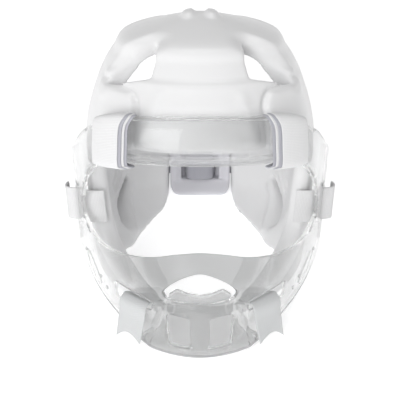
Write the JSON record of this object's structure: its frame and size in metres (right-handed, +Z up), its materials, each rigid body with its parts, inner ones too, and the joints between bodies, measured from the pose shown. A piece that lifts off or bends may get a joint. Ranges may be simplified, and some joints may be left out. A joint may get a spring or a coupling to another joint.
{
  "type": "karate headgear with face shield",
  "caption": "White dipped-foam karate helmet with crown vents, rear wings and jaw arms, and a clear moulded face shield held on by hook-and-loop straps.",
  "frame": {"origin": "on the table that the headgear stands on, under the middle of its box", "axes": "+X towards the right of the picture, which is the wearer's left; +Y from the face to the back; +Z up from the table"},
  "size_m": [0.2388, 0.2916, 0.219],
  "materials": {
    "dipped_foam": "soft satin vinyl skin over foam",
    "pad_foam": "satin vinyl skin over foam",
    "clear_plastic": "clear glossy moulding",
    "strap_webbing": "woven webbing"
  },
  "bodies": {
    "root": {"foam_shell": "dipped_foam", "rear_pad": "pad_foam", "rear_strap": "strap_webbing", "face_shield": "clear_plastic", "forehead_strap_right": "strap_webbing", "forehead_strap_left": "strap_webbing", "side_strap_right": "strap_webbing", "side_strap_left": "strap_webbing", "chin_strap_right": "strap_webbing", "chin_strap_left": "strap_webbing"}
  },
  "joints": []
}
